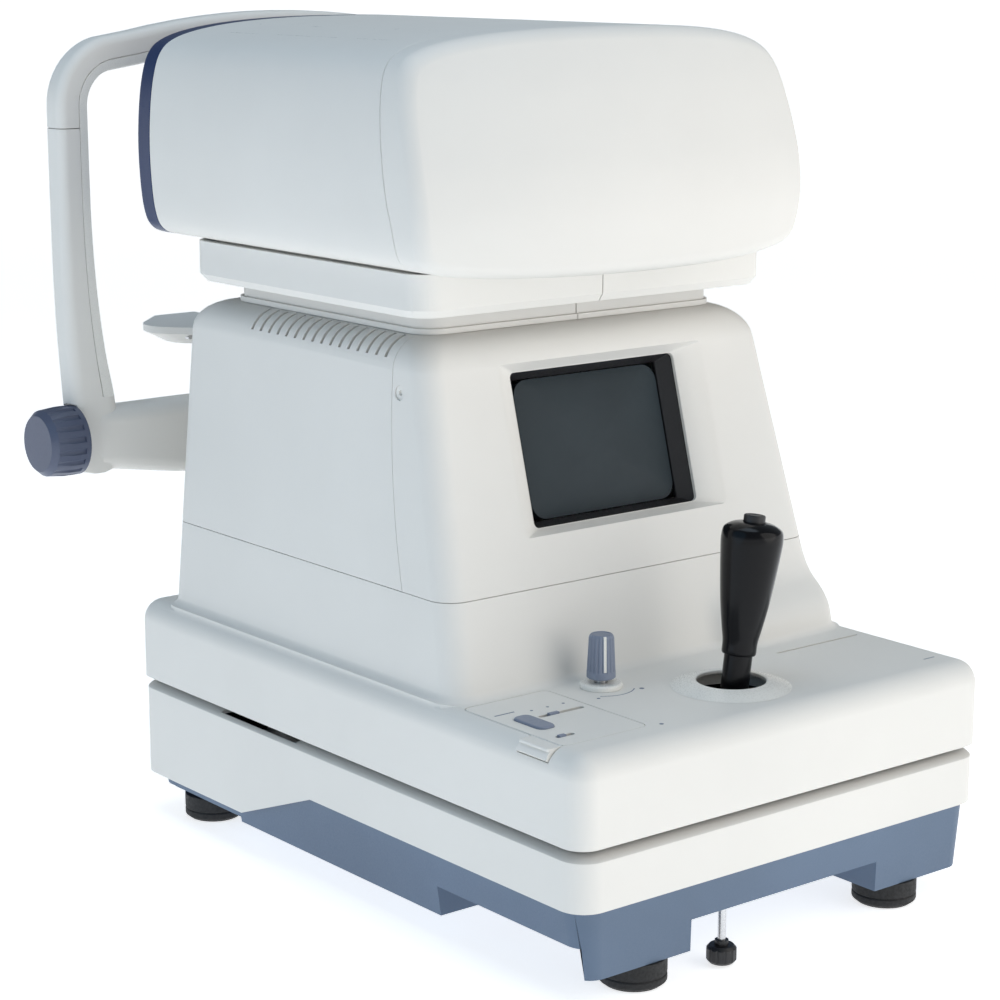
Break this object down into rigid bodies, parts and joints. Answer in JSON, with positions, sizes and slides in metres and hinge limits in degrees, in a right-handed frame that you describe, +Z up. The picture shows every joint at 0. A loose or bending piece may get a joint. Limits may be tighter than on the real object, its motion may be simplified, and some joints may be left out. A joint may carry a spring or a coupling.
{
  "type": "autorefractor",
  "caption": "Tabletop eye examination instrument: base with face frame and chin rest, joystick-guided stage, screen tower and lifting measuring head.",
  "frame": {"origin": "under the middle of the whole object's outline, on the table under the rubber feet", "axes": "+Z up, +Y from the operator to the patient, +X to the operator's right"},
  "size_m": [0.3185, 0.5, 0.448],
  "materials": {
    "white_case": "warm white moulded case, fine texture",
    "tray_grey": "blue-grey moulded tray",
    "black_rubber": "moulded rubber",
    "steel_plate": "zinc plated steel",
    "ground_steel": "ground steel",
    "cast_alloy": "sand-blasted casting",
    "brass": "machined",
    "black_plastic": "moulded black plastic",
    "joystick_black": "smooth black grip",
    "navy_panel": "navy moulded panel",
    "slate_knob": "dark slate ribbed knob",
    "grey_button": "grey-blue moulded plastic",
    "tube_glass": "dark picture tube face",
    "lens_glass": "coated lens",
    "white_silicone": "soft white silicone",
    "paper": "thermal paper",
    "board_green": "circuit board",
    "dark_metal": "black anodised"
  },
  "bodies": {
    "base": {"bottom_tray": "tray_grey", "base_cover": "white_case", "base_plate": "steel_plate", "rubber_feet": "black_rubber", "guide_racks": "ground_steel", "power_supply": "steel_plate", "power_inlet": "black_plastic", "data_socket": "black_plastic", "support_column": "cast_alloy", "column_cover": "white_case", "crossbeam_and_posts": "white_case", "forehead_arch": "white_case", "frame_trim_strip": "white_case", "forehead_pad": "white_silicone"},
    "transport": {"transport_screw": "ground_steel", "transport_knob": "black_rubber"},
    "power_rocker": {"power_rocker": "black_plastic"},
    "chin_support": {"chin_post": "ground_steel", "chin_rest": "white_case", "chin_pins": "ground_steel"},
    "chin_drive": {"chin_knob": "slate_knob", "chin_shaft": "ground_steel"},
    "carriage": {"cross_shaft": "ground_steel"},
    "rack_wheels": {"rack_wheels": "brass"},
    "stage": {"stage_chassis": "cast_alloy", "shaft_bushes": "brass", "stage_cover": "white_case", "tower_rear_cover": "white_case", "tower_front_bezel": "white_case", "screen_surround": "black_plastic", "picture_tube": "tube_glass", "main_board": "board_green", "switch_board": "board_green", "lower_skirt": "white_case", "guide_columns": "ground_steel", "joystick_collar": "white_case", "gimbal_frame": "cast_alloy", "knob_collar": "white_case", "printer_mechanism": "black_plastic", "lift_motor": "dark_metal", "case_screws": "steel_plate"},
    "paper_roll": {"paper_roll": "paper"},
    "control_lid": {"control_lid": "white_case"},
    "print_button": {"print_button": "grey_button"},
    "mode_slider": {"mode_slider": "black_plastic"},
    "target_slider": {"target_slider": "black_plastic"},
    "brightness_knob": {"brightness_knob": "grey_button"},
    "gimbal_ring": {"gimbal_ring": "cast_alloy"},
    "joystick_stem": {"joystick_stem": "ground_steel"},
    "joystick_grip": {"joystick_grip": "joystick_black"},
    "joystick_button": {"joystick_button": "joystick_black"},
    "lift_screw": {"lift_screw": "ground_steel"},
    "head": {"head_chassis": "cast_alloy", "optics_bench": "dark_metal", "head_shell": "white_case", "head_front_cap": "white_case", "head_rear_panel": "navy_panel", "objective_lens": "lens_glass", "upper_skirt": "white_case"}
  },
  "joints": [
    {"name": "transport_turn", "type": "hinge", "parent": "base", "child": "transport", "pos_m": [-0.0335, -0.2425, 0.008], "axis": [0, 0, 1], "range_deg": [-360, 360]},
    {"name": "power_rocker_tilt", "type": "hinge", "parent": "base", "child": "power_rocker", "pos_m": [-0.0695, 0.135, 0.05], "axis": [1, 0, 0], "range_deg": [0, 14]},
    {"name": "chin_lift", "type": "slide", "parent": "base", "child": "chin_support", "axis": [0, 0, 1], "range_m": [-0.012, 0.048]},
    {"name": "chin_knob_turn", "type": "hinge", "parent": "base", "child": "chin_drive", "pos_m": [-0.1435, 0.19, 0.208], "axis": [1, 0, 0], "range_deg": [-86, 344]},
    {"name": "stage_fore_aft", "type": "slide", "parent": "base", "child": "carriage", "axis": [0, 1, 0], "range_m": [-0.02, 0.02]},
    {"name": "rack_wheel_turn", "type": "hinge", "parent": "carriage", "child": "rack_wheels", "pos_m": [0.0065, -0.035, 0.06], "axis": [1, 0, 0], "range_deg": [-128, 128]},
    {"name": "stage_sideways", "type": "slide", "parent": "carriage", "child": "stage", "axis": [1, 0, 0], "range_m": [-0.043, 0.043]},
    {"name": "joystick_fore_aft", "type": "hinge", "parent": "stage", "child": "gimbal_ring", "pos_m": [0.0075, -0.203, 0.105], "axis": [1, 0, 0], "range_deg": [-14, 14]},
    {"name": "joystick_sideways", "type": "hinge", "parent": "gimbal_ring", "child": "joystick_stem", "pos_m": [0.0075, -0.203, 0.105], "axis": [0, 1, 0], "range_deg": [-21, 6]},
    {"name": "joystick_twist", "type": "hinge", "parent": "joystick_stem", "child": "joystick_grip", "pos_m": [0.0075, -0.203, 0.105], "axis": [0.1323, 0, 0.9912], "range_deg": [-289, 793]},
    {"name": "measure_button_press", "type": "slide", "parent": "joystick_grip", "child": "joystick_button", "axis": [-0.1323, 0, -0.9912], "range_m": [0, 0.0015], "stiffness_N_per_m": 400, "springref_m": -0.001},
    {"name": "head_lift", "type": "slide", "parent": "stage", "child": "head", "axis": [0, 0, 1], "range_m": [-0.008, 0.022]},
    {"name": "lift_screw_turn", "type": "hinge", "parent": "stage", "child": "lift_screw", "pos_m": [0.0905, 0.005, 0.128], "axis": [0, 0, 1], "range_deg": [-289, 793]},
    {"name": "brightness_turn", "type": "hinge", "parent": "stage", "child": "brightness_knob", "pos_m": [-0.0445, -0.164, 0.13], "axis": [0, 0, 1], "range_deg": [-150, 150]},
    {"name": "control_lid_open", "type": "hinge", "parent": "stage", "child": "control_lid", "pos_m": [-0.0704, -0.189, 0.1236], "axis": [0, 1, 0], "range_deg": [0, 95]},
    {"name": "print_button_press", "type": "slide", "parent": "stage", "child": "print_button", "axis": [0, 0, -1], "range_m": [0, 0.0011], "stiffness_N_per_m": 300, "springref_m": -0.001},
    {"name": "mode_slide", "type": "slide", "parent": "stage", "child": "mode_slider", "axis": [1, 0, 0], "range_m": [-0.0045, 0.0145]},
    {"name": "target_slide", "type": "slide", "parent": "stage", "child": "target_slider", "axis": [1, 0, 0], "range_m": [-0.001, 0.005]},
    {"name": "paper_roll_turn", "type": "hinge", "parent": "stage", "child": "paper_roll", "pos_m": [0.0985, -0.118, 0.122], "axis": [1, 0, 0], "continuous": true}
  ],
  "couplings": [
    {"joint": "chin_knob_turn", "follows": "chin_lift", "rad_per_m": 125},
    {"joint": "rack_wheel_turn", "follows": "stage_fore_aft", "rad_per_m": -111.11},
    {"joint": "joystick_twist", "follows": "head_lift", "rad_per_m": 628.32},
    {"joint": "lift_screw_turn", "follows": "head_lift", "rad_per_m": 628.32}
  ]
}
